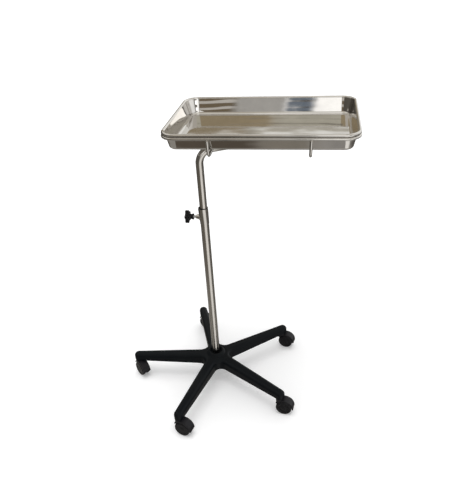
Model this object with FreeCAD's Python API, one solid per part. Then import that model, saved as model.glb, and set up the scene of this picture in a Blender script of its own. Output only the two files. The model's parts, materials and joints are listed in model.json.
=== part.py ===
import FreeCAD, Part
import math
import os

# Height-adjustable instrument table on five casters, in millimetres.
# +X runs along the tray's long side, +Y away from the operator, +Z up from the floor.
# Shapes are built round the column's axis and moved on export, so that the origin
# stands on the floor under the middle of the whole outline.

Vector = FreeCAD.Vector
X_AXIS = Vector(1, 0, 0)
Y_AXIS = Vector(0, 1, 0)
Z_AXIS = Vector(0, 0, 1)

# Place of the column's axis from the origin
column_x = -70.1
column_y = 7.8

# Clearances
press_gap = 0.02
running_gap = 0.06
sliding_gap = 0.12
resting_gap = 0.3

# How far a cutting shape runs past the face that it opens
cut_through = 1.0

# Edges and faces nearer to each other than this count as touching
touching = 0.01

# Five-leg moulded base
leg_count = 5
first_leg_azimuth = 182.5
caster_circle_radius = 271.5
base_underside = 59.5
leg_tip_radius = 14.2
leg_tip_height = 24.3
leg_root_height = 36.3
leg_taper = 1.2
leg_web_radius = 22.0
leg_edge_radius = 12.0
leg_wall = 3.2
leg_pocket_chamfer = 4.5
leg_rib_count = 6
leg_rib_thickness = 2.4
hub_radius = 26.5
hub_ring_rise = 8.7
hub_blend_radius = 7.0
hub_floor = 9.0
hub_recess_depth = 8.0
hub_recess_radius = 13.5
hub_edge_radius = 2.5
hub_foot_step = 1.0

# Column and mast tubes
column_radius = 12.5
column_wall = 1.2
column_top = 632.0
mast_radius = 11.0
mast_wall = 1.2
mast_foot = 232.0
bend_radius = 38.0
arm_height = 814.0

# Collar and its bush at the top of the column
collar_length = 50.0
collar_lip_radius = 14.7
collar_lip_offset = -1.5
collar_foot_wall = 0.9
collar_mouth_depth = 8.0
collar_lip_wall = 1.2
bush_rise = 0.8

# Clamp screw with its star knob
clamp_below_column_top = 21.0
stud_radius = 4.0
boss_reach = 24.0
boss_nose_radius = 5.6
boss_root_radius = 9.0
pad_radius = 4.0
pad_length = 3.0
knob_hub_near = 31.0
knob_flange_radius = 8.8
knob_flange_length = 3.2
knob_neck_radius = 7.6
knob_neck_length = 5.0
knob_shoulder_radius = 12.0
knob_grip_near = 43.5
knob_grip_length = 11.5
knob_lobe_count = 5
knob_radius = 19.5
knob_lobe_radius = 5.6
knob_valley_radius = 7.5
knob_edge_radius = 2.0
knob_bore_end_wall = 4.0

# Column foot fastening
foot_plug_length = 14.0
foot_bolt_radius = 4.0
foot_bolt_head_width = 13.0
foot_bolt_head_height = 5.3
foot_bolt_engagement = 10.0
foot_bolt_end_room = 1.0
foot_washer_radius = 12.0
foot_washer_thickness = 1.6

# Sliding plug at the foot of the mast
slide_plug_head = 10.0
slide_plug_spigot = 24.0

# Tray with its rolled rim
tray_length = 503.5
tray_width = 335.0
tray_corner_radius = 38.0
tray_centre_x = 172.0
tray_centre_y = 86.7
tray_rim_height = 883.5
rim_radius = 4.5
rim_wall = 0.9
rim_seam_angle = 26.0
tray_depth = 48.5
tray_wall = 0.9
tray_wall_inset = 11.0
tray_bottom_radius = 9.0

# Ring frame and cross rods that carry the tray
ring_rod_radius = 4.0
ring_outset = 1.5
cross_rod_radius = 4.0
cross_rod_spacing = 259.0
cross_rod_shift = 2.0
cross_rod_splay = 2.0
cross_rod_bend_radius = 11.0
weld_bite = 0.5
arm_overhang = 12.0
cap_flange = 2.5
cap_edge_radius = 1.5
cap_spigot = 12.0

# Twin-wheel casters
wheel_radius = 25.0
wheel_width = 10.8
wheel_edge_radius = 4.0
wheel_face_dish = 1.2
wheel_inner_chamfer = 1.0
wheel_rim_radius = 16.5
wheel_hub_radius = 7.0
wheel_cap_radius = 7.5
wheel_core_depth = 8.0
wheel_disc_thickness = 3.0
axle_radius = 3.0
axle_end_gap = 0.6
wheel_side_gap = 0.5
caster_trail = 13.0
caster_azimuths = [317.0, 343.0, 352.0, 349.0, 335.0]
fork_web_thickness = 7.0
fork_web_low_radius = 11.0
hood_inner_gap = 1.6
hood_thickness = 4.2
hood_width = 27.0
hood_front_angle = 144.0
hood_rear_angle = -3.0
hood_edge_radius = 1.2
stem_boss_radius = 13.6
stem_flange_radius = 7.5
stem_flange_height = 1.4
stem_radius = 5.0
stem_pin_radius = 4.0
stem_pin_depth = 7.0
stem_length = 20.0
stem_edge_radius = 1.0
socket_wall = 4.0
grip_ring_height = 2.0
grip_ring_depth = 0.9
grip_ring_offset = 12.0


def vec(x, y, z):
    return Vector(x, y, z)


def polar(radius, degrees, z=0.0):
    angle = math.radians(degrees)
    return Vector(radius * math.cos(angle), radius * math.sin(angle), z)


def cylinder(radius, height, base, direction=Z_AXIS):
    return Part.makeCylinder(radius, height, base, direction)


def pipe(outer_radius, inner_radius, low, high):
    outer = cylinder(outer_radius, high - low, vec(0, 0, low))
    return outer.cut(cylinder(inner_radius, high - low, vec(0, 0, low)))


def line(start, end):
    return Part.LineSegment(start, end).toShape()


def arc(start, middle, end):
    return Part.Arc(start, middle, end).toShape()


def face_of(edges):
    return Part.Face(Part.Wire(Part.__sortEdges__(edges)))


def polygon_face(points):
    return Part.Face(Part.makePolygon(points + [points[0]]))


def single(shape):
    solids = shape.removeSplitter().Solids
    solids.sort(key=lambda solid: solid.Volume)
    return solids[-1]


def joined(shapes):
    return single(shapes[0].multiFuse(shapes[1:]))


def rounded_edges(shape, radius, wanted):
    edges = [edge for edge in shape.Edges if wanted(edge)]
    return shape.makeFillet(radius, edges)


def disc_face(radius, centre, normal):
    circle = Part.Circle(centre, normal, radius)
    return Part.Face(Part.Wire(circle.toShape()))


# A round bar along straight runs that are joined by tangent arcs
def bent_bar(points, radius, turn_radius):
    pieces = []
    start = points[0]
    for index in range(1, len(points) - 1):
        corner = points[index]
        heading = (corner - points[index - 1]).normalize()
        leaving = (points[index + 1] - corner).normalize()
        turn = heading.getAngle(leaving)
        setback = turn_radius * math.tan(turn / 2)
        bend_start = corner - heading * setback
        bend_axis = heading.cross(leaving).normalize()
        bend_centre = bend_start + bend_axis.cross(heading) * turn_radius
        pieces.append(cylinder(radius, (bend_start - start).Length, start, heading))
        section = disc_face(radius, bend_start, heading)
        pieces.append(section.revolve(bend_centre, bend_axis, math.degrees(turn)))
        start = corner + leaving * setback
    last = points[-1] - start
    pieces.append(cylinder(radius, last.Length, start, last))
    return joined(pieces)


# Corners of the tray, counter-clockwise from the front left, in the column's frame
def tray_corner_centres():
    half_length = tray_length / 2 - tray_corner_radius
    half_width = tray_width / 2 - tray_corner_radius
    signs = [(-1, -1), (1, -1), (1, 1), (-1, 1)]
    return [vec(tray_centre_x + sx * half_length, tray_centre_y + sy * half_width, 0)
            for sx, sy in signs]


# A closed ring round the tray: profile(centre, outward) gives the section's face beyond one
# corner's centre, where outward is the direction that points away from the tray
def ring_round_tray(profile):
    centres = tray_corner_centres()
    pieces = []
    for side in range(4):
        outward = 270 + 90 * side
        here = centres[side]
        there = centres[(side + 1) % 4]
        section = profile(here, polar(1, outward))
        pieces.append(section.extrude(there - here))
        corner_section = profile(there, polar(1, outward))
        pieces.append(corner_section.revolve(there, Z_AXIS, 90))
    return joined(pieces)


def rounded_rectangle(inset, z):
    radius = tray_corner_radius - inset
    centres = tray_corner_centres()
    edges = []
    for side in range(4):
        outward = 270 + 90 * side
        here = centres[side] + vec(0, 0, z)
        there = centres[(side + 1) % 4] + vec(0, 0, z)
        edges.append(line(here + polar(radius, outward), there + polar(radius, outward)))
        edges.append(arc(there + polar(radius, outward),
                         there + polar(radius, outward + 45),
                         there + polar(radius, outward + 90)))
    return Part.Wire(edges)


def tray_block(top_inset, bottom_inset, bottom, edge_radius):
    top = rounded_rectangle(top_inset, tray_rim_height)
    low = rounded_rectangle(bottom_inset, bottom)
    block = Part.makeLoft([low, top], True, True)

    def on_floor(edge):
        return edge.BoundBox.ZMax < bottom + touching

    return rounded_edges(block, edge_radius, on_floor)


def make_tray():
    wall_outer = rim_radius - tray_wall
    bottom = tray_rim_height + rim_radius - tray_depth
    outer = tray_block(wall_outer, wall_outer + tray_wall_inset, bottom, tray_bottom_radius)
    inner = tray_block(rim_radius, rim_radius + tray_wall_inset, bottom + tray_wall,
                       tray_bottom_radius - tray_wall)
    return single(outer.cut(inner).fuse(rolled_rim()))


# The rim is a rolled tube, open along a seam that faces the tray's wall from below
def rolled_rim():
    inner_radius = rim_radius - rim_wall
    seam_low = 180 + rim_seam_angle
    seam_high = seam_low + rim_seam_angle

    def profile(centre, outward):
        middle = centre + outward * tray_corner_radius + vec(0, 0, tray_rim_height)

        def at(radius, degrees):
            angle = math.radians(degrees)
            return middle + outward * (radius * math.cos(angle)) + vec(0, 0, radius * math.sin(angle))

        return face_of([
            arc(at(rim_radius, seam_high), at(rim_radius, 0), at(rim_radius, seam_low)),
            line(at(rim_radius, seam_low), at(inner_radius, seam_low)),
            arc(at(inner_radius, seam_low), at(inner_radius, 0), at(inner_radius, seam_high)),
            line(at(inner_radius, seam_high), at(rim_radius, seam_high))])

    return ring_round_tray(profile)


# The rim rests on the ring: both are round, so the ring's drop follows from its outset
ring_pitch = rim_radius + ring_rod_radius + resting_gap
ring_height = tray_rim_height - math.sqrt(ring_pitch ** 2 - ring_outset ** 2)
cross_rod_height = arm_height + mast_radius + cross_rod_radius - weld_bite
arm_azimuth = math.degrees(math.atan2(tray_centre_y, tray_centre_x))
cross_rod_middle = tray_centre_x + cross_rod_shift
cross_rod_xs = [cross_rod_middle - cross_rod_spacing / 2, cross_rod_middle + cross_rod_spacing / 2]
arm_length = cross_rod_xs[1] / math.cos(math.radians(arm_azimuth)) + arm_overhang
bend_start = arm_height - bend_radius


def make_ring_frame():
    def profile(centre, outward):
        middle = centre + outward * (tray_corner_radius + ring_outset)
        tangent = Z_AXIS.cross(outward)
        return disc_face(ring_rod_radius, middle + vec(0, 0, ring_height), tangent)

    return ring_round_tray(profile)


# The rod's two ends rise to the ring and lean outwards by the splay
def make_cross_rod(x, splay, ring, arm):
    reach = tray_width / 2 + ring_outset
    front = tray_centre_y - reach
    back = tray_centre_y + reach
    rod = bent_bar([vec(x + splay, front, ring_height), vec(x, front, cross_rod_height),
                    vec(x, back, cross_rod_height), vec(x + splay, back, ring_height)],
                   cross_rod_radius, cross_rod_bend_radius)
    return single(rod.cut(ring).cut(arm))


def mast_path(foot, reach):
    corner = vec(0, 0, arm_height)
    return [vec(0, 0, foot), corner, corner + polar(reach, arm_azimuth)]


def make_mast_solid():
    return bent_bar(mast_path(mast_foot, arm_length), mast_radius, bend_radius)


def make_mast_tube():
    bore_path = mast_path(mast_foot - cut_through, arm_length + cut_through)
    bore = bent_bar(bore_path, mast_radius - mast_wall, bend_radius)
    return single(make_mast_solid().cut(bore))


def make_arm_cap():
    outward = polar(1, arm_azimuth)
    tube_end = vec(0, 0, arm_height) + outward * arm_length
    flange = cylinder(mast_radius, cap_flange, tube_end, outward)
    far_face = tube_end + outward * cap_flange
    flange = rounded_edges(flange, cap_edge_radius,
                           lambda edge: (edge.CenterOfMass - far_face).Length < touching)
    spigot = cylinder(mast_radius - mast_wall - press_gap, cap_spigot, tube_end, outward * -1)
    return joined([flange, spigot])


# Plastic plug that slides in the column and carries the foot of the mast
def make_slide_plug():
    head_radius = column_radius - column_wall - running_gap
    head = cylinder(head_radius, slide_plug_head, vec(0, 0, mast_foot - slide_plug_head))
    spigot_radius = mast_radius - mast_wall - running_gap
    spigot = cylinder(spigot_radius, slide_plug_spigot, vec(0, 0, mast_foot))
    return joined([head, spigot])


clamp_height = column_top - clamp_below_column_top
collar_top = column_top + collar_mouth_depth


def make_column_tube():
    tube = pipe(column_radius, column_radius - column_wall, column_foot, column_top)
    hole = cylinder(pad_radius + sliding_gap, column_radius + cut_through,
                    vec(0, 0, clamp_height), X_AXIS * -1)
    return single(tube.cut(hole))


# Sleeve that flares towards the clamp screw's side as it rises to its mouth
def make_collar():
    low = collar_top - collar_length
    foot = Part.Wire(Part.Circle(vec(0, 0, low), Z_AXIS, column_radius + collar_foot_wall).toShape())
    lip_centre = vec(collar_lip_offset, 0, collar_top)
    lip = Part.Wire(Part.Circle(lip_centre, Z_AXIS, collar_lip_radius).toShape())
    sleeve = Part.makeLoft([foot, lip], True, True)
    bore = cylinder(column_radius + press_gap, collar_length, vec(0, 0, low))
    mouth = cylinder(collar_lip_radius - collar_lip_wall, collar_mouth_depth,
                     vec(collar_lip_offset, 0, column_top))
    screw_hole = cylinder(pad_radius + sliding_gap, 2 * collar_lip_radius,
                          vec(0, 0, clamp_height), X_AXIS * -1)
    return single(sleeve.cut(bore).cut(mouth).cut(screw_hole))


def make_collar_bush():
    height = collar_mouth_depth + bush_rise
    body = cylinder(collar_lip_radius - collar_lip_wall - press_gap, height,
                    vec(collar_lip_offset, 0, column_top))
    bore = cylinder(mast_radius + running_gap, height, vec(0, 0, column_top))
    return single(body.cut(bore))


# Conical nut welded to the collar; the clamp stud runs through it
def make_clamp_nut(collar):
    root = column_radius
    cone = Part.makeCone(boss_root_radius, boss_nose_radius, boss_reach - root,
                         vec(-root, 0, clamp_height), X_AXIS * -1)
    hole = cylinder(stud_radius + sliding_gap, boss_reach, vec(0, 0, clamp_height), X_AXIS * -1)
    sleeve_core = cylinder(column_radius + press_gap, collar_length,
                           vec(0, 0, collar_top - collar_length))
    return single(cone.cut(collar).cut(sleeve_core).cut(hole))


pad_face = mast_radius + resting_gap
stud_tip = pad_face + pad_length + press_gap


def make_pressure_pad():
    return cylinder(pad_radius, pad_length, vec(-pad_face, 0, clamp_height), X_AXIS * -1)


knob_far = knob_grip_near + knob_grip_length
stud_end = knob_far - knob_bore_end_wall


def make_clamp_stud():
    return cylinder(stud_radius, stud_end - stud_tip, vec(-stud_tip, 0, clamp_height), X_AXIS * -1)


# Outline of the star grip: arcs round the lobes joined by tangent valley arcs
def lobed_outline():
    pitch = knob_radius - knob_lobe_radius
    half_step = 180.0 / knob_lobe_count
    reach = knob_lobe_radius + knob_valley_radius
    valley_pitch = (pitch * math.cos(math.radians(half_step))
                    + math.sqrt(reach ** 2 - (pitch * math.sin(math.radians(half_step))) ** 2))

    def place(radius, degrees):
        spot = polar(radius, degrees)
        return vec(0, spot.x, spot.y)

    lobe_edges = []
    for index in range(knob_lobe_count):
        azimuth = 90 + 2 * half_step * index
        lobe = place(pitch, azimuth)
        before = place(valley_pitch, azimuth - half_step)
        after = place(valley_pitch, azimuth + half_step)
        start = lobe + (before - lobe).normalize() * knob_lobe_radius
        end = lobe + (after - lobe).normalize() * knob_lobe_radius
        lobe_edges.append(arc(start, place(knob_radius, azimuth), end))
        following = place(pitch, azimuth + 2 * half_step)
        next_start = following + (after - following).normalize() * knob_lobe_radius
        valley = place(valley_pitch - knob_valley_radius, azimuth + half_step)
        lobe_edges.append(arc(end, valley, next_start))
    return Part.Wire(lobe_edges)


def make_star_knob():
    grip_face = Part.Face(lobed_outline())
    grip = grip_face.extrude(X_AXIS * -knob_grip_length)
    grip = rounded_edges(grip, knob_edge_radius, lambda edge: edge.BoundBox.XLength < touching)
    grip.translate(vec(-knob_grip_near, 0, clamp_height))
    flange = cylinder(knob_flange_radius, knob_flange_length,
                      vec(-knob_hub_near, 0, clamp_height), X_AXIS * -1)
    neck_start = knob_hub_near + knob_flange_length
    neck = cylinder(knob_neck_radius, knob_neck_length,
                    vec(-neck_start, 0, clamp_height), X_AXIS * -1)
    shoulder_start = neck_start + knob_neck_length
    shoulder = Part.makeCone(knob_neck_radius, knob_shoulder_radius,
                             knob_grip_near - shoulder_start + knob_edge_radius,
                             vec(-shoulder_start, 0, clamp_height), X_AXIS * -1)
    knob = joined([grip, shoulder, neck, flange])
    bore = cylinder(stud_radius + press_gap, stud_end - knob_hub_near,
                    vec(-knob_hub_near, 0, clamp_height), X_AXIS * -1)
    return single(knob.cut(bore))


# Plan outline of the star base, shrunk inwards by a wall where one is given
def star_outline(wall, z):
    tip = leg_tip_radius - wall
    web = leg_web_radius + wall
    taper = math.radians(leg_taper)
    half_step = math.radians(180.0 / leg_count)
    web_centre = ((web + tip + caster_circle_radius * math.sin(taper))
                  / math.sin(half_step + taper))
    edges = []
    for index in range(leg_count):
        azimuth = leg_azimuth(index)
        tip_centre = polar(caster_circle_radius, azimuth, z)
        right_normal = azimuth - 90 + leg_taper
        left_normal = azimuth + 90 - leg_taper
        tip_right = tip_centre + polar(tip, right_normal)
        tip_left = tip_centre + polar(tip, left_normal)
        before = polar(web_centre, azimuth - 180.0 / leg_count, z)
        after = polar(web_centre, azimuth + 180.0 / leg_count, z)
        root_right = before - polar(web, right_normal)
        root_left = after - polar(web, left_normal)
        following = azimuth + 360.0 / leg_count
        next_root = after - polar(web, following - 90 + leg_taper)
        edges.append(line(root_right, tip_right))
        edges.append(arc(tip_right, tip_centre + polar(tip, azimuth), tip_left))
        edges.append(line(tip_left, root_left))
        edges.append(arc(root_left, polar(web_centre - web, azimuth + 180.0 / leg_count, z), next_root))
    return Part.Face(Part.Wire(edges))


# Solid that caps the legs: flat over the hub, then falling in a cone to the tips
def leg_top_space(drop):
    run = caster_circle_radius + leg_tip_radius
    fall = (leg_root_height - leg_tip_height) / (run - hub_radius)
    peak = base_underside + leg_root_height - drop
    reach = run + 2 * leg_tip_radius
    return revolved([(0, 0), (reach, 0), (reach, peak - fall * (reach - hub_radius)),
                     (hub_radius, peak), (0, peak)])


def star_solid(wall, low):
    prism = star_outline(wall, low).extrude(vec(0, 0, 2 * leg_root_height))
    return single(prism.common(leg_top_space(wall)))


# Upper edges of a star solid that follow its plan outline
def star_rim_edges(star, wall):
    outline = star_outline(wall, base_underside).OuterWire
    edges = []
    for edge in star.Edges:
        middle = edge.valueAt((edge.FirstParameter + edge.LastParameter) / 2)
        foot = Part.Vertex(middle.x, middle.y, base_underside)
        is_upper = edge.BoundBox.ZMin > base_underside + touching
        if is_upper and outline.distToShape(foot)[0] < touching:
            edges.append(edge)
    return edges


hub_top = base_underside + leg_root_height + hub_ring_rise
hub_seat = base_underside + hub_recess_depth
column_foot = hub_seat + hub_floor


def leg_azimuth(index):
    return first_leg_azimuth + 360.0 / leg_count * index


def revolved(points):
    section = polygon_face([vec(radius, 0, z) for radius, z in points])
    return section.revolve(vec(0, 0, 0), Z_AXIS, 360)


# Solid tip, caster post, centre rib and cross ribs that are left standing inside one leg
def leg_ribs(azimuth):
    start = hub_radius - leg_wall
    end = caster_circle_radius - stem_radius
    height = 2 * leg_root_height
    low = base_underside - 2 * cut_through
    centre_rib = Part.makeBox(end - start, leg_rib_thickness, height,
                              vec(start - leg_wall / 2, -leg_rib_thickness / 2, low))
    tip = Part.makeBox(2 * leg_tip_radius, 4 * leg_tip_radius, height,
                       vec(caster_circle_radius, -2 * leg_tip_radius, low))
    ribs = [centre_rib, tip]
    pitch = (end - start) / (leg_rib_count + 1)
    for index in range(leg_rib_count):
        x = start + pitch * (index + 1)
        ribs.append(Part.makeBox(leg_rib_thickness, 4 * leg_tip_radius, height,
                                 vec(x, -2 * leg_tip_radius, low)))
    for rib in ribs:
        rib.rotate(vec(0, 0, 0), Z_AXIS, azimuth)
    ribs.append(cylinder(stem_radius + socket_wall, height,
                         polar(caster_circle_radius, azimuth, low)))
    return ribs


def make_base_star():
    outside = star_solid(0, base_underside)
    shell = outside.makeFillet(leg_edge_radius, star_rim_edges(outside, 0))
    core_radius = hub_radius - leg_wall
    pockets = star_solid(leg_wall, base_underside - cut_through)
    pockets = pockets.makeChamfer(leg_pocket_chamfer, star_rim_edges(pockets, leg_wall))
    pockets = pockets.cut(cylinder(core_radius, 2 * leg_root_height,
                                   vec(0, 0, base_underside - 2 * cut_through)))
    for index in range(leg_count):
        for rib in leg_ribs(leg_azimuth(index)):
            pockets = pockets.cut(rib)
    shell = single(shell.cut(pockets))
    flare = hub_radius + hub_blend_radius
    ring_low = base_underside + leg_root_height - leg_wall
    ring = revolved([(core_radius - leg_wall, ring_low), (flare, ring_low),
                     (hub_radius + hub_foot_step, ring_low + leg_wall + hub_blend_radius / 2),
                     (hub_radius, hub_top - hub_edge_radius),
                     (hub_radius - hub_edge_radius, hub_top), (core_radius - leg_wall, hub_top)])
    star = joined([shell, ring])
    socket_depth = stem_length + resting_gap
    holes = [cylinder(column_radius + press_gap, hub_top - column_foot, vec(0, 0, column_foot)),
             cylinder(foot_bolt_radius + sliding_gap, hub_top, vec(0, 0, base_underside)),
             cylinder(hub_recess_radius, hub_recess_depth, vec(0, 0, base_underside))]
    for index in range(leg_count):
        holes.append(cylinder(stem_radius + press_gap, socket_depth,
                              polar(caster_circle_radius, leg_azimuth(index), base_underside)))
    return single(star.cut(holes))


def make_foot_plug():
    plug = cylinder(column_radius - column_wall - press_gap, foot_plug_length, vec(0, 0, column_foot))
    hole = cylinder(foot_bolt_radius + press_gap, foot_bolt_engagement + foot_bolt_end_room,
                    vec(0, 0, column_foot))
    return single(plug.cut(hole))


def make_foot_bolt():
    seat = hub_seat - foot_washer_thickness
    circumradius = foot_bolt_head_width / math.sqrt(3)
    corners = [polar(circumradius, 60 * index, seat - foot_bolt_head_height) for index in range(6)]
    head = polygon_face(corners).extrude(vec(0, 0, foot_bolt_head_height))
    shank_length = foot_washer_thickness + hub_floor + foot_bolt_engagement
    shank = cylinder(foot_bolt_radius, shank_length, vec(0, 0, seat))
    return joined([head, shank])


def make_foot_washer():
    return pipe(foot_washer_radius, foot_bolt_radius + sliding_gap,
                hub_seat - foot_washer_thickness, hub_seat)


# Casters are built with the stem's axis at the origin and trailing along +X, then placed
def place_caster(shape, index):
    placed = shape.copy()
    placed.rotate(vec(0, 0, 0), Z_AXIS, caster_azimuths[index])
    placed.translate(polar(caster_circle_radius, leg_azimuth(index)))
    return placed


boss_top = base_underside - stem_flange_height - resting_gap
hood_inner = wheel_radius + hood_inner_gap
hood_outer = hood_inner + hood_thickness


def wheel_sector(radius, width, low_angle, high_angle):
    centre = vec(caster_trail, -width / 2, wheel_radius)

    def at(degrees):
        spot = polar(radius, degrees)
        return centre + vec(spot.x, 0, spot.y)

    middle = (low_angle + high_angle) / 2
    section = face_of([line(centre, at(low_angle)), arc(at(low_angle), at(middle), at(high_angle)),
                       line(at(high_angle), centre)])
    return section.extrude(vec(0, width, 0))


def make_caster_fork():
    hood = wheel_sector(hood_outer, hood_width, hood_rear_angle, hood_front_angle)
    hood = rounded_edges(hood, hood_edge_radius, lambda edge: edge.BoundBox.YLength < touching
                         and edge.BoundBox.ZMax > wheel_radius + hood_inner)
    hollow = cylinder(hood_inner, hood_width, vec(caster_trail, -hood_width / 2, wheel_radius), Y_AXIS)
    hood = hood.cut(hollow)
    web = wheel_sector(hood_inner + hood_thickness / 2, fork_web_thickness,
                       hood_rear_angle, hood_front_angle)
    web_half = fork_web_thickness / 2
    low_web = cylinder(fork_web_low_radius, fork_web_thickness,
                       vec(caster_trail, -web_half, wheel_radius), Y_AXIS)
    boss_low = wheel_radius + math.sqrt(hood_inner ** 2 - caster_trail ** 2)
    boss = cylinder(stem_boss_radius, boss_top - boss_low, vec(0, 0, boss_low))
    fork = joined([hood, web, low_web, boss])
    bore = cylinder(stem_pin_radius + running_gap, stem_pin_depth + resting_gap,
                    vec(0, 0, boss_top - stem_pin_depth - resting_gap))
    axle_bore = cylinder(axle_radius + press_gap, fork_web_thickness,
                         vec(caster_trail, -web_half, wheel_radius), Y_AXIS)
    wheel_space = wheel_clearance_space()
    return single(fork.cut(wheel_space).cut(bore).cut(axle_bore))


# Room that the turning wheels need on both sides of the web
def wheel_clearance_space():
    near = fork_web_thickness / 2
    width = hood_width / 2 - near + cut_through
    sides = []
    for start in (near, -near - width):
        sides.append(cylinder(hood_inner, width, vec(caster_trail, start, wheel_radius), Y_AXIS))
    return sides[0].fuse(sides[1])


axle_half = fork_web_thickness / 2 + wheel_side_gap + wheel_core_depth


def make_caster_axle():
    return cylinder(axle_radius, 2 * axle_half - axle_end_gap,
                    vec(caster_trail, -axle_half + axle_end_gap / 2, wheel_radius), Y_AXIS)


# One wheel by revolving half its section; side is +1 or -1 along the axle
def make_caster_wheel(side):
    inner_face = fork_web_thickness / 2 + wheel_side_gap
    outer_face = inner_face + wheel_width
    core = outer_face - wheel_disc_thickness - wheel_face_dish

    def at(radius, offset):
        return vec(caster_trail + radius, side * offset, wheel_radius)

    rim_inside = wheel_rim_radius
    chamfer = wheel_inner_chamfer
    edge = wheel_edge_radius
    near_arc = edge * (1 - math.sqrt(0.5))
    outline = [
        line(at(0, outer_face), at(wheel_cap_radius, outer_face - wheel_face_dish / 2)),
        line(at(wheel_cap_radius, outer_face - wheel_face_dish / 2),
             at(wheel_cap_radius + wheel_face_dish, outer_face - wheel_face_dish)),
        line(at(wheel_cap_radius + wheel_face_dish, outer_face - wheel_face_dish),
             at(rim_inside, outer_face - wheel_face_dish)),
        line(at(rim_inside, outer_face - wheel_face_dish), at(rim_inside + wheel_face_dish, outer_face)),
        line(at(rim_inside + wheel_face_dish, outer_face), at(wheel_radius - edge, outer_face)),
        arc(at(wheel_radius - edge, outer_face), at(wheel_radius - near_arc, outer_face - near_arc),
            at(wheel_radius, outer_face - edge)),
        line(at(wheel_radius, outer_face - edge), at(wheel_radius, inner_face + chamfer)),
        line(at(wheel_radius, inner_face + chamfer), at(wheel_radius - chamfer, inner_face)),
        line(at(wheel_radius - chamfer, inner_face), at(rim_inside + wheel_face_dish, inner_face)),
        line(at(rim_inside + wheel_face_dish, inner_face), at(rim_inside + wheel_face_dish, core)),
        line(at(rim_inside + wheel_face_dish, core), at(wheel_hub_radius, core)),
        line(at(wheel_hub_radius, core), at(wheel_hub_radius, inner_face)),
        line(at(wheel_hub_radius, inner_face), at(axle_radius + running_gap, inner_face)),
        line(at(axle_radius + running_gap, inner_face),
             at(axle_radius + running_gap, inner_face + wheel_core_depth)),
        line(at(axle_radius + running_gap, inner_face + wheel_core_depth),
             at(0, inner_face + wheel_core_depth)),
        line(at(0, inner_face + wheel_core_depth), at(0, outer_face))]
    section = Part.Face(Part.Wire(outline))
    return section.revolve(vec(caster_trail, 0, wheel_radius), Y_AXIS, 360)


def make_caster_stem():
    shank = cylinder(stem_radius, stem_length, vec(0, 0, base_underside))
    shank_top = base_underside + stem_length
    shank = rounded_edges(shank, stem_edge_radius,
                          lambda edge: edge.BoundBox.ZMin > shank_top - touching)
    groove_low = base_underside + grip_ring_offset
    groove = pipe(stem_radius + cut_through, stem_radius - grip_ring_depth,
                  groove_low, groove_low + grip_ring_height)
    flange = cylinder(stem_flange_radius, stem_flange_height,
                      vec(0, 0, base_underside - stem_flange_height))
    pin = cylinder(stem_pin_radius, stem_pin_depth + resting_gap,
                   vec(0, 0, base_underside - stem_flange_height - stem_pin_depth - resting_gap))
    return joined([shank.cut(groove), flange, pin])


def make_grip_ring():
    low = base_underside + grip_ring_offset
    return pipe(stem_radius, stem_radius - grip_ring_depth + press_gap, low + press_gap,
                low + grip_ring_height - press_gap)


def save(name, shape):
    placed = shape.copy()
    placed.translate(vec(column_x, column_y, 0))
    placed.exportStep("parts/" + name + ".step")


def main():
    os.makedirs("parts", exist_ok=True)
    collar = make_collar()
    ring = make_ring_frame()
    arm = make_mast_solid()
    save("base_star", make_base_star())
    save("column_tube", make_column_tube())
    save("column_foot_plug", make_foot_plug())
    save("column_foot_bolt", make_foot_bolt())
    save("column_foot_washer", make_foot_washer())
    save("collar", collar)
    save("collar_bush", make_collar_bush())
    save("clamp_nut", make_clamp_nut(collar))
    save("pressure_pad", make_pressure_pad())
    save("clamp_stud", make_clamp_stud())
    save("star_knob", make_star_knob())
    save("slide_plug", make_slide_plug())
    save("mast_tube", make_mast_tube())
    save("arm_end_cap", make_arm_cap())
    save("ring_frame", ring)
    save("cross_rod_left", make_cross_rod(cross_rod_xs[0], -cross_rod_splay, ring, arm))
    save("cross_rod_right", make_cross_rod(cross_rod_xs[1], cross_rod_splay, ring, arm))
    save("tray", make_tray())
    fork = make_caster_fork()
    axle = make_caster_axle()
    left_wheel = make_caster_wheel(1)
    right_wheel = make_caster_wheel(-1)
    stem = make_caster_stem()
    grip_ring = make_grip_ring()
    grip_rings = []
    for index in range(leg_count):
        number = "_" + str(index + 1)
        save("caster_fork" + number, place_caster(fork, index))
        save("caster_axle" + number, place_caster(axle, index))
        save("caster_wheel_left" + number, place_caster(left_wheel, index))
        save("caster_wheel_right" + number, place_caster(right_wheel, index))
        save("caster_stem" + number, place_caster(stem, index))
        grip_rings.append(place_caster(grip_ring, index))
    save("stem_grip_rings", Part.makeCompound(grip_rings))


main()
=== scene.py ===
"""Looks of the height-adjustable instrument table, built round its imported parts.

Lengths are metres, +Z is up, and the floor is at z = 0.
"""

import json
import math

import bpy
from mathutils import Matrix, Vector


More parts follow.
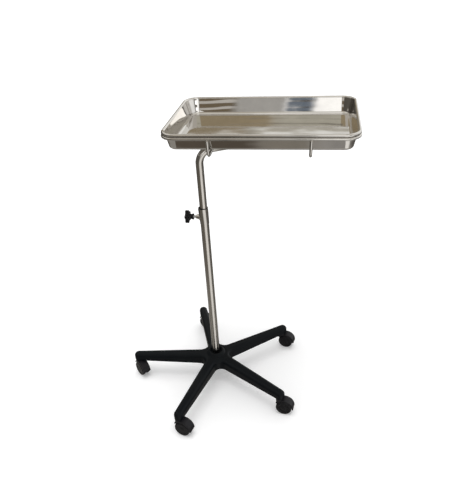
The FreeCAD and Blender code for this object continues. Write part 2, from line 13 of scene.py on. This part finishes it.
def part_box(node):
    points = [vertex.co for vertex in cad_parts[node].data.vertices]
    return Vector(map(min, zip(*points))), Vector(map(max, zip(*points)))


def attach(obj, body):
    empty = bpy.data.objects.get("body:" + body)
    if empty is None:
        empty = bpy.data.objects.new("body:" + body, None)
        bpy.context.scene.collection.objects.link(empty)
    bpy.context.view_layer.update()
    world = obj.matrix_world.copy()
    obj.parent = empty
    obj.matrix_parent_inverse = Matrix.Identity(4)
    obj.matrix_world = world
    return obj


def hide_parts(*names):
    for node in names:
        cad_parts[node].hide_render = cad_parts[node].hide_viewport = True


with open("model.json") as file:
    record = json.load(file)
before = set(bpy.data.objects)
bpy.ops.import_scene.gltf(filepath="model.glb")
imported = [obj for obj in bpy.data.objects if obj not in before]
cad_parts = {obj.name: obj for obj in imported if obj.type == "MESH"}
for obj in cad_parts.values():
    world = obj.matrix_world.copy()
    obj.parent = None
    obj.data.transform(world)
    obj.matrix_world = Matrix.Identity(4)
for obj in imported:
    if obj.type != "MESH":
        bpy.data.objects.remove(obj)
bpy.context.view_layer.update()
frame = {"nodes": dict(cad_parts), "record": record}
NODES = frame["nodes"]
MM = 0.001


def box_middle(node):
    low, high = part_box(node)
    return (Vector(low) + Vector(high)) / 2


COLUMN_FOOT = box_middle("column_tube")
COLUMN_FOOT.z = 0.0

# Camera that took the photograph: place from the column's foot, and turns about its own axes
CAMERA_FROM_COLUMN = Vector((0.3249, -1.3870, 1.3443))
CAMERA_PITCH = math.radians(30.93)
CAMERA_ROLL = math.radians(-3.33)
CAMERA_YAW = math.radians(9.76)
FOCAL_LENGTH_PIXELS = 549.4
IMAGE_LONG_SIDE_PIXELS = 500
SENSOR_WIDTH_MM = 36.0
NEAREST_SEEN = 0.05
FARTHEST_SEEN = 60.0

# Sizes that the parts have in the metal. The thread's core is sunk by a share of its depth.
ROD_RADIUS = 4.0 * MM
MAST_RADIUS = 11.0 * MM
THREAD_PITCH = 1.25 * MM
THREAD_DEPTH = 0.5 * MM
THREAD_STEPS_PER_TURN = 28
THREAD_RIDGE_SIDES = 4
STUD_SIDES = 32
STUD_CORE_SINK = 0.35

# Weld beads: their ripples, and where they lie against the pieces that they join
BEAD_RADIUS = 1.3 * MM
BEAD_RIPPLE = 0.9 * MM
BEAD_SWELL = (0.86, 1.1)
BEAD_SEED = 7
ROUND_SEAM_POINTS = 24
ROD_END_SEAM_RISE = 0.6 * MM
ROD_END_SEAM_GAP = 0.2 * MM
CROSSING_SEAM_OFFSET = 3.3 * MM
CROSSING_SEAM_RISE = 0.8 * MM
CROSSING_SEAM_STEP = 1.0 * MM
CROSSING_SEAM_STEPS = 6
NUT_SEAM_FORWARD = 1.0 * MM
NUT_SEAM_SINK = 0.6 * MM


class Value:
    """One output of a node tree. Arithmetic on values adds the Math nodes for it."""

    def __init__(self, tree, socket):
        self.tree = tree
        self.socket = socket

    def math(self, operation, *others, clamp=False):
        inputs = dict(enumerate((self,) + others))
        settings = {"operation": operation, "use_clamp": clamp}
        return self.tree.node("ShaderNodeMath", settings, inputs)

    def __add__(self, other):
        return self.math("ADD", other)

    def __sub__(self, other):
        return self.math("SUBTRACT", other)

    def __mul__(self, other):
        return self.math("MULTIPLY", other)

    def __truediv__(self, other):
        return self.math("DIVIDE", other)

    def __radd__(self, other):
        return self + other

    def __rsub__(self, other):
        return self * -1.0 + other

    def __rmul__(self, other):
        return self * other

    def __neg__(self):
        return self * -1.0

    def clamped(self):
        return self.math("ADD", 0.0, clamp=True)

    def smooth(self, low, high):
        """0 below low, 1 above high, and an even slope between them."""
        inputs = {"Value": self, "From Min": low, "From Max": high}
        return self.tree.node("ShaderNodeMapRange", {"interpolation_type": "SMOOTHSTEP"}, inputs)


class Tree:
    """A shader or geometry node tree; node() adds any node and gives back one of its outputs."""

    def __init__(self, nodes, links):
        self.nodes = nodes
        self.links = links

    def node(self, kind, settings=None, inputs=None, output=0):
        made = self.nodes.new(kind)
        for name, setting in (settings or {}).items():
            setattr(made, name, setting)
        for name, value in (inputs or {}).items():
            self.feed(made.inputs[name], value)
        return Value(self, made.outputs[output]) if made.outputs else None

    def feed(self, socket, value):
        """Link a value, or each value of a list, or else set the socket's own value."""
        if isinstance(value, (Value, list)):
            for source in (value if isinstance(value, list) else [value]):
                self.links.new(source.socket, socket)
        elif socket.type == "RGBA":
            socket.default_value = (*value, 1.0)
        else:
            socket.default_value = value

    def place(self):
        return self.node("ShaderNodeTexCoord", output="Object")

    def scaled(self, vector, scale):
        return self.node("ShaderNodeMapping", None, {"Vector": vector, "Scale": scale})

    def noise(self, vector, scale, detail=4.0, roughness=0.55):
        inputs = {"Vector": vector, "Scale": scale, "Detail": detail, "Roughness": roughness}
        return self.node("ShaderNodeTexNoise", None, inputs)

    def blend(self, factor, first, second):
        """A colour between two colours. The Mix node has its colour sockets at these places."""
        return self.node("ShaderNodeMix", {"data_type": "RGBA"}, {0: factor, 6: first, 7: second},
                         output=2)

    def bump(self, height, depth, normal=None):
        inputs = {"Height": height, "Distance": depth}
        if normal is not None:
            inputs["Normal"] = normal
        return self.node("ShaderNodeBump", None, inputs)


class Finish(Tree):
    """A material whose surface is one Principled shader."""

    def __init__(self, name):
        self.material = bpy.data.materials.new(name)
        self.material.use_nodes = True
        super().__init__(self.material.node_tree.nodes, self.material.node_tree.links)
        self.nodes.clear()

    def surface(self, values):
        shader = self.node("ShaderNodeBsdfPrincipled", None, values)
        self.node("ShaderNodeOutputMaterial", None, {"Surface": shader})
        return self.material


# Scales of the patterns in the finishes: how many of their patches or lines lie in a metre
PATCH_SCALE = 9.0
SMEAR_SCALE = 42.0
SWELL_SCALE = 13.0
WANDER_SCALE = 5.0
CLOUD_SCALE = 14.0
FLECK_SCALE = 160.0
PLATE_CLOUD_SCALE = 60.0
SPANGLE_SCALE = 700.0
LONG_GRAIN_Z = (900.0, 900.0, 14.0)
LONG_GRAIN_X = (10.0, 700.0, 700.0)
EVEN_GRAIN = (380.0, 380.0, 380.0)
WELD_GRAIN = (900.0, 900.0, 900.0)

# Sizes and depths of the relief in the finishes
LINE_DEPTH = 0.002 * MM
WELD_LINE_DEPTH = 0.01 * MM
SPANGLE_DEPTH = 0.004 * MM
MOULD_GRAIN_SIZE = 0.5 * MM
MOULD_GRAIN_DEPTH = 0.02 * MM
SHEET_SWELL = 0.35 * MM
DIE_RING_DEPTH = 0.05 * MM

# Rings from the die: radians of their wave for a metre of height, and how far they wander
DIE_RING_TURNS = 345.0
DIE_RING_WANDER = 5.0

# How far the patterns sway a finish's roughness
CLOUD_SWAY = 0.16
GRAIN_SWAY = 0.10
PLATE_CLOUD_SWAY = 0.14
SPANGLE_SWAY = 0.08

# How much darker a metal is where it is dullest
DULL_STEEL = 0.86
DULL_PLATE = 0.8


def dulled(tint, share):
    return tuple(channel * share for channel in tint)


# Stainless steel: polishing lines along a grain, faint smears, and a slight tint.
# Drawn sheet also swells softly, and its walls keep faint rings from the die.
def stainless(name, tint, grain_scale, roughness, line_depth=LINE_DEPTH, smear=0.04, drawn=False):
    finish = Finish(name)
    place = finish.place()
    lines = finish.noise(finish.scaled(place, grain_scale), 1.0, detail=6.0, roughness=0.7)
    patches = finish.noise(place, PATCH_SCALE, detail=3.0)
    smears = finish.noise(place, SMEAR_SCALE, detail=5.0, roughness=0.62)
    tone = (patches * 0.5 + smears * 0.3 + lines * 0.2).smooth(0.3, 0.7)
    colour = finish.blend(tone, dulled(tint, DULL_STEEL), tint)
    rough = roughness + (smears - 0.5) * smear + (lines - 0.5) * smear
    form = None
    if drawn:
        height = finish.node("ShaderNodeSeparateXYZ", None, {"Vector": place}, output="Z")
        swell = finish.noise(place, SWELL_SCALE, detail=1.0)
        wander = finish.noise(place, WANDER_SCALE, detail=1.0)
        rings = (height * DIE_RING_TURNS + wander * DIE_RING_WANDER).math("SINE")
        form = finish.bump(swell, SHEET_SWELL)
        form = finish.bump(rings, DIE_RING_DEPTH, normal=form)
    normal = finish.bump(lines, line_depth, normal=form)
    return finish.surface({"Base Color": colour, "Metallic": 1.0, "Roughness": rough.clamped(),
                           "Normal": normal})


# Moulded plastic: fine spark-eroded grain, worn sheen and a little dust
def moulded(name, tint, dust_tint, roughness, dust=0.10, shine=0.085):
    finish = Finish(name)
    place = finish.place()
    grain = finish.noise(place, 1.0 / MOULD_GRAIN_SIZE, detail=2.0)
    clouds = finish.noise(place, CLOUD_SCALE, detail=4.0)
    flecks = finish.noise(place, FLECK_SCALE, detail=3.0, roughness=0.7).smooth(0.56, 0.74)
    settled = (flecks * 0.6 + clouds.smooth(0.4, 0.7) * 0.4) * dust
    colour = finish.blend(settled.clamped(), tint, dust_tint)
    rough = (roughness + (clouds - 0.5) * CLOUD_SWAY + (grain - 0.5) * GRAIN_SWAY).clamped()
    normal = finish.bump(grain, MOULD_GRAIN_DEPTH)
    return finish.surface({"Base Color": colour, "Roughness": rough, "Normal": normal,
                           "Specular IOR Level": shine})


# Zinc plate: bluish, slightly cloudy metal
def plated(name, tint, roughness):
    finish = Finish(name)
    place = finish.place()
    clouds = finish.noise(place, PLATE_CLOUD_SCALE, detail=4.0)
    spangle = finish.noise(place, SPANGLE_SCALE, detail=2.0)
    colour = finish.blend(clouds.smooth(0.35, 0.65), dulled(tint, DULL_PLATE), tint)
    rough = roughness + (clouds - 0.5) * PLATE_CLOUD_SWAY + (spangle - 0.5) * SPANGLE_SWAY
    return finish.surface({"Base Color": colour, "Metallic": 1.0, "Roughness": rough.clamped(),
                           "Normal": finish.bump(spangle, SPANGLE_DEPTH)})


FINISHES = {
    "tray_steel": stainless("tray_sheet_steel", (0.63, 0.61, 0.58), LONG_GRAIN_X, 0.05, drawn=True),
    "frame_steel": stainless("ring_bar_steel", (0.62, 0.60, 0.57), EVEN_GRAIN, 0.07),
    "mast_steel": stainless("mast_tube_steel", (0.60, 0.575, 0.54), LONG_GRAIN_Z, 0.19),
    "column_steel": stainless("column_tube_steel", (0.60, 0.575, 0.54), LONG_GRAIN_Z, 0.20),
    "collar_steel": stainless("collar_steel", (0.58, 0.56, 0.53), EVEN_GRAIN, 0.18),
    "weld": stainless("weld_bead_steel", (0.52, 0.49, 0.44), WELD_GRAIN, 0.3, WELD_LINE_DEPTH),
    "stud_steel": plated("bright_zinc_plate", (0.72, 0.73, 0.74), 0.2),
    "fastener_steel": plated("zinc_plate", (0.56, 0.57, 0.58), 0.3),
    "pad_brass": plated("turned_brass", (0.72, 0.55, 0.27), 0.28),
    "base_nylon": moulded("base_moulding_nylon", (0.0050, 0.0064, 0.0078),
                          (0.045, 0.045, 0.043), 0.36),
    "caster_nylon": moulded("caster_hood_nylon", (0.0125, 0.012, 0.014),
                            (0.07, 0.067, 0.066), 0.30, shine=0.16),
    "wheel_nylon": moulded("caster_wheel_nylon", (0.0075, 0.0077, 0.009),
                           (0.08, 0.076, 0.073), 0.26, shine=0.2),
    "bush_plastic": moulded("bush_plastic", (0.013, 0.013, 0.013), (0.1, 0.1, 0.1), 0.4),
    "knob_plastic": moulded("knob_plastic", (0.006, 0.006, 0.007), (0.06, 0.06, 0.06), 0.24,
                            dust=0.06, shine=0.2),
}


def paint_nodes():
    for part in frame["record"]["subparts"]:
        mesh = NODES[part["node"]].data
        finish = FINISHES[part["material_slot"]]
        if not mesh.materials:
            mesh.materials.append(finish)
        for index in range(len(mesh.materials)):
            mesh.materials[index] = finish


class Growth(Tree):
    """A Geometry Nodes tree with named inputs, turned into a plain mesh that rides one body."""

    def __init__(self, name):
        self.group = bpy.data.node_groups.new(name, "GeometryNodeTree")
        super().__init__(self.group.nodes, self.group.links)
        self.group.interface.new_socket("Mesh", in_out="OUTPUT", socket_type="NodeSocketGeometry")
        self.group.interface.new_socket("Start", in_out="INPUT", socket_type="NodeSocketGeometry")
        self.given = {}

    def size(self, name, value, kind="NodeSocketFloat"):
        socket = self.group.interface.new_socket(name, in_out="INPUT", socket_type=kind)
        self.given[socket.identifier] = value
        return self.node("NodeGroupInput", output=name)

    def start(self):
        return self.node("NodeGroupInput", output="Start")

    def make(self, name, shape, finish, start=None):
        whole = self.node("GeometryNodeRealizeInstances", None, {"Geometry": shape})
        painted = self.node("GeometryNodeSetMaterial", None, {"Geometry": whole, "Material": finish})
        self.node("NodeGroupOutput", None, {0: painted})
        piece = bpy.data.objects.new(name, start or bpy.data.meshes.new(name))
        bpy.context.scene.collection.objects.link(piece)
        modifier = piece.modifiers.new("growth", "NODES")
        modifier.node_group = self.group
        for identifier, value in self.given.items():
            modifier[identifier] = value
        graph = bpy.context.evaluated_depsgraph_get()
        mesh = bpy.data.meshes.new_from_object(piece.evaluated_get(graph), depsgraph=graph)
        piece.modifiers.clear()
        piece.data = mesh
        return piece


# Threaded clamp stud: a ridge wound along a plain core, laid from the pad towards the knob
def make_stud():
    low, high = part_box("clamp_stud")
    length = high[0] - low[0]
    radius = (high[2] - low[2]) / 2
    tree = Growth("stud_thread")
    pitch = tree.size("Thread pitch", THREAD_PITCH)
    depth = tree.size("Thread depth", THREAD_DEPTH)
    long = tree.size("Stud length", length)
    ridge_radius = tree.size("Stud radius", radius) - depth / 2
    winding = tree.node("GeometryNodeCurveSpiral", None, {
        "Resolution": THREAD_STEPS_PER_TURN, "Rotations": long / pitch,
        "Start Radius": ridge_radius, "End Radius": ridge_radius, "Height": long})
    section = tree.node("GeometryNodeCurvePrimitiveCircle", None,
                        {"Resolution": THREAD_RIDGE_SIDES, "Radius": depth / 2})
    ridge = tree.node("GeometryNodeCurveToMesh", None,
                      {"Curve": winding, "Profile Curve": section, "Fill Caps": True})
    core = tree.node("GeometryNodeMeshCylinder", None, {
        "Vertices": STUD_SIDES, "Radius": ridge_radius - depth * STUD_CORE_SINK, "Depth": long})
    halfway = tree.node("ShaderNodeCombineXYZ", None, {"Z": long / 2})
    core = tree.node("GeometryNodeTransform", None, {"Geometry": core, "Translation": halfway})
    both = tree.node("GeometryNodeJoinGeometry", None, {0: [ridge, core]})
    laid = tree.node("GeometryNodeTransform", None, {
        "Geometry": both, "Rotation": (0.0, -math.pi / 2, 0.0),
        "Translation": (high[0], (low[1] + high[1]) / 2, (low[2] + high[2]) / 2)})
    stud = tree.make("threaded_stud", laid, FINISHES["stud_steel"])
    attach(stud, "clamp_screw")
    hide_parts("clamp_stud")


# Weld beads: overlapping ripples along the seams of one body
def make_welds(name, body, seams):
    path = bpy.data.meshes.new(name)
    corners, edges = [], []
    for points, closed in seams:
        first = len(corners)
        corners += points
        edges += [(first + k, first + k + 1) for k in range(len(points) - 1)]
        if closed:
            edges.append((first + len(points) - 1, first))
    path.from_pydata(corners, edges, [])
    tree = Growth(name + "_ripples")
    ripple = tree.size("Ripple spacing", BEAD_RIPPLE)
    radius = tree.size("Bead radius", BEAD_RADIUS)
    seed = tree.size("Seed", BEAD_SEED, "NodeSocketInt")
    curve = tree.node("GeometryNodeMeshToCurve", None, {"Mesh": tree.start()})
    spaced = tree.node("GeometryNodeResampleCurve", {"mode": "LENGTH"},
                       {"Curve": curve, "Length": ripple})
    drop = tree.node("GeometryNodeMeshIcoSphere", None, {"Radius": radius, "Subdivisions": 2})
    along = tree.node("FunctionNodeAlignRotationToVector", {"axis": "Z"},
                      {"Vector": tree.node("GeometryNodeInputTangent")})
    swell = tree.node("FunctionNodeRandomValue", {"data_type": "FLOAT"},
                      {2: BEAD_SWELL[0], 3: BEAD_SWELL[1], "Seed": seed}, output=1)
    beads = tree.node("GeometryNodeInstanceOnPoints", None,
                      {"Points": spaced, "Instance": drop, "Rotation": along, "Scale": swell})
    welds = tree.make(name, beads, FINISHES["weld"], path)
    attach(welds, body)


def round_seam(middle, axis, radius):
    turn = Vector(axis).to_track_quat("Z", "Y")
    points = []
    for step in range(ROUND_SEAM_POINTS):
        angle = step * math.tau / ROUND_SEAM_POINTS
        points.append(middle + turn @ Vector((radius * math.cos(angle), radius * math.sin(angle), 0)))
    return points, True


# Seam along one side of a cross rod, over the arm's round top
def crossing_seam(rod_x, offset, cross_y, slope, arm_height):
    points = []
    for step in range(-CROSSING_SEAM_STEPS, CROSSING_SEAM_STEPS + 1):
        reach = step * CROSSING_SEAM_STEP
        across = (reach - offset * slope) / math.hypot(1.0, slope)
        top = arm_height + math.sqrt(MAST_RADIUS ** 2 - across ** 2)
        points.append(Vector((rod_x + offset, cross_y + reach, top + CROSSING_SEAM_RISE)))
    return points, False


def make_frame_welds():
    ring_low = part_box("ring_frame")[0][2]
    cap = box_middle("arm_end_cap")
    slope = (cap.y - COLUMN_FOOT.y) / (cap.x - COLUMN_FOOT.x)
    seams = []
    for node in ("cross_rod_left", "cross_rod_right"):
        low, high = (Vector(corner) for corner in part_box(node))
        rod_x = low.x + ROD_RADIUS
        end_x = high.x - ROD_RADIUS
        for end_y in (low.y + ROD_RADIUS, high.y - ROD_RADIUS):
            middle = Vector((end_x, end_y, ring_low + ROD_END_SEAM_RISE))
            seams.append(round_seam(middle, (0, 0, 1), ROD_RADIUS + ROD_END_SEAM_GAP))
        cross_y = COLUMN_FOOT.y + (rod_x - COLUMN_FOOT.x) * slope
        for offset in (-CROSSING_SEAM_OFFSET, CROSSING_SEAM_OFFSET):
            seams.append(crossing_seam(rod_x, offset, cross_y, slope, cap.z))
    make_welds("frame_welds", "mast", seams)


def make_nut_weld():
    low, high = (Vector(corner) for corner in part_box("clamp_nut"))
    root = Vector((high.x - NUT_SEAM_FORWARD, (low.y + high.y) / 2, (low.z + high.z) / 2))
    radius = (high.y - low.y) / 2 - NUT_SEAM_SINK
    make_welds("nut_weld", "base", [round_seam(root, (-1, 0, 0), radius)])


def make_camera():
    forward = Vector((-math.sin(CAMERA_YAW) * math.cos(CAMERA_PITCH),
                      math.cos(CAMERA_YAW) * math.cos(CAMERA_PITCH),
                      -math.sin(CAMERA_PITCH)))
    level = Vector((math.cos(CAMERA_YAW), math.sin(CAMERA_YAW), 0.0))
    above = level.cross(forward)
    right = level * math.cos(CAMERA_ROLL) + above * math.sin(CAMERA_ROLL)
    up = above * math.cos(CAMERA_ROLL) - level * math.sin(CAMERA_ROLL)
    turn = Matrix((right, up, -forward)).transposed().to_4x4()
    data = bpy.data.cameras.new("photo_camera")
    data.sensor_width = SENSOR_WIDTH_MM
    data.lens = FOCAL_LENGTH_PIXELS / IMAGE_LONG_SIDE_PIXELS * SENSOR_WIDTH_MM
    data.clip_start = NEAREST_SEEN
    data.clip_end = FARTHEST_SEEN
    camera = bpy.data.objects.new("photo_camera", data)
    camera.matrix_world = Matrix.Translation(COLUMN_FOOT + CAMERA_FROM_COLUMN) @ turn
    bpy.context.scene.collection.objects.link(camera)
    bpy.context.scene.camera = camera


def soft_sun(name, direction, spread, strength):
    data = bpy.data.lights.new(name, "SUN")
    data.angle = spread
    data.energy = strength
    lamp = bpy.data.objects.new(name, data)
    lamp.rotation_euler = Vector(direction).to_track_quat("-Z", "Y").to_euler()
    lamp.visible_glossy = False
    bpy.context.scene.collection.objects.link(lamp)


# Room that polished metal shows. Each panel covers a range of compass and height, both in
# degrees, with soft edges. The compass is 0 towards the camera's side (-Y) and 90 towards +X.
# Panels are laid over each other in this order.
ROOM_BASE = (0.13, 0.12, 0.105)
ROOM_PANELS = [
    # compass from, to, its softness, height from, to, its softness, colour
    (-180, 180, 0, 24, 90, 8, (0.90, 0.87, 0.82)),
    (-180, 180, 0, 82, 90, 3, (1.8, 1.8, 1.8)),
    (-60, -6.5, 4, 36, 49, 3, (0.62, 0.52, 0.36)),
    (-6.5, 40, 4, 36, 49, 3, (0.90, 0.88, 0.78)),
    (-60, 40, 8, 49, 57, 3, (0.20, 0.17, 0.12)),
    (150, 210, 10, 20, 66, 4, (0.25, 0.22, 0.17)),
    (-180, 180, 0, -90, -33, 8, (0.36, 0.345, 0.32)),
    (-75, 5, 14, -36, -20, 8, (0.16, 0.145, 0.12)),
    (2, 62, 26, -60, -5, 14, (1.15, 1.13, 1.10)),
    (-24, -9, 6, -56, -42, 3, (0.12, 0.10, 0.08)),
    (-9, 0, 5, -56, -42, 3, (0.29, 0.265, 0.23)),
    (0, 20, 5, -56, -42, 3, (0.37, 0.355, 0.34)),
    (70, 130, 24, -40, -14, 10, (0.15, 0.14, 0.13)),
    (46, 174, 26, -10, 18, 6, (1.2, 1.2, 1.2)),
    (105, 165, 26, 10, 60, 8, (1.2, 1.19, 1.17)),
    (-22, -8.5, 1.6, 9, 12.6, 1.2, (0.22, 0.175, 0.12)),
    (-22, -8.5, 1.6, 12.6, 16, 1.2, (0.72, 0.69, 0.65)),
    (-8.5, -3.6, 0.8, 5, 25, 3, (0.55, 0.54, 0.52)),
    (-3.6, -2.7, 0.5, 5, 25, 3, (1.0, 1.0, 1.0)),
    (-3.1, -0.7, 0.4, 9, 14, 2, (0.20, 0.24, 0.30)),
    (-0.6, 14, 1.0, 3, 30, 3, (1.7, 1.7, 1.7)),
    (14, 34, 3, 12, 27, 3, (2.6, 2.6, 2.6)),
    (-60, -24, 6, 2, 24, 4, (0.12, 0.11, 0.095)),
    (-172.5, -150, 2.5, 8, 30, 4, (0.33, 0.27, 0.18)),
    (172, 187.5, 2.5, 8, 30, 4, (0.52, 0.49, 0.42)),
    (160, 210, 6, 19.0, 30, 0.5, (1.15, 1.15, 1.12)),
]
WORLD_FILL = 0.64
WHITE = (1.0, 1.0, 1.0)


def sine(degrees):
    return math.sin(math.radians(max(-90, min(90, degrees))))


class Room(Tree):
    """What the metal shows in each direction."""

    def __init__(self, nodes, links):
        super().__init__(nodes, links)
        direction = self.node("ShaderNodeTexCoord", output="Generated")
        x, y, self.up = (self.node("ShaderNodeSeparateXYZ", None, {"Vector": direction}, output=axis)
                         for axis in ("X", "Y", "Z"))
        level = (x * x + y * y + 1e-6).math("SQRT")
        self.east = x / level
        self.south = -y / level
        self.colour = ROOM_BASE

    def add_panel(self, compass_low, compass_high, compass_soft, low, high, soft, colour):
        mask = self.up.smooth(sine(low - soft / 2), sine(low + soft / 2))
        if high < 90:
            mask = mask * (1.0 - self.up.smooth(sine(high - soft / 2), sine(high + soft / 2)))
        if compass_high - compass_low < 360:
            middle = math.radians((compass_low + compass_high) / 2)
            half = (compass_high - compass_low) / 2
            outer = math.cos(math.radians(half + compass_soft / 2))
            inner = math.cos(math.radians(half - compass_soft / 2))
            nearness = self.east * math.sin(middle) + self.south * math.cos(middle)
            mask = mask * nearness.smooth(outer, inner)
        self.colour = self.blend(mask, self.colour, colour)


def make_world():
    world = bpy.data.worlds.new("studio")
    bpy.context.scene.world = world
    world.use_nodes = True
    world.node_tree.nodes.clear()
    room = Room(world.node_tree.nodes, world.node_tree.links)
    for panel in ROOM_PANELS:
        room.add_panel(*panel)
    fill = room.node("ShaderNodeBackground", None, {"Color": WHITE, "Strength": WORLD_FILL})
    backdrop = room.node("ShaderNodeBackground", None, {"Color": WHITE, "Strength": 1.0})
    mirrored = room.node("ShaderNodeBackground", None, {"Color": room.colour, "Strength": 1.0})
    glossy = room.node("ShaderNodeLightPath", output="Is Glossy Ray")
    seen = room.node("ShaderNodeLightPath", output="Is Camera Ray")
    light = room.node("ShaderNodeMixShader", None, {0: glossy, 1: fill, 2: mirrored})
    light = room.node("ShaderNodeMixShader", None, {0: seen, 1: light, 2: backdrop})
    room.node("ShaderNodeOutputWorld", None, {"Surface": light})


FLOOR_SIZE = 60.0
FLOOR_LIFT = 0.20
FLOOR_TINT = (0.92, 0.92, 0.92)
SUN_DIRECTION = (-0.06, -0.05, -1.0)
SUN_SPREAD = math.radians(46)
SUN_STRENGTH = 1.5


def make_floor():
    mesh = bpy.data.meshes.new("studio_floor")
    half = FLOOR_SIZE / 2
    corners = [(-half, -half, 0), (half, -half, 0), (half, half, 0), (-half, half, 0)]
    mesh.from_pydata(corners, [], [(0, 1, 2, 3)])
    floor = bpy.data.objects.new("studio_floor", mesh)
    bpy.context.scene.collection.objects.link(floor)
    tree = Finish("studio_floor_white")
    seen = tree.node("ShaderNodeLightPath", output="Is Camera Ray")
    paper = tree.node("ShaderNodeBsdfDiffuse", None, {"Color": FLOOR_TINT})
    lift = tree.node("ShaderNodeEmission", None, {"Strength": FLOOR_LIFT})
    lifted = tree.node("ShaderNodeAddShader", None, {0: paper, 1: lift})
    mixed = tree.node("ShaderNodeMixShader", None, {0: seen, 1: paper, 2: lifted})
    tree.node("ShaderNodeOutputMaterial", None, {"Surface": mixed})
    mesh.materials.append(tree.material)
    floor.visible_glossy = False


make_camera()
make_world()
make_floor()
soft_sun("overhead_dome", SUN_DIRECTION, SUN_SPREAD, SUN_STRENGTH)
paint_nodes()
make_stud()
make_frame_welds()
make_nut_weld()

scene = bpy.context.scene
scene.view_settings.view_transform = "Standard"
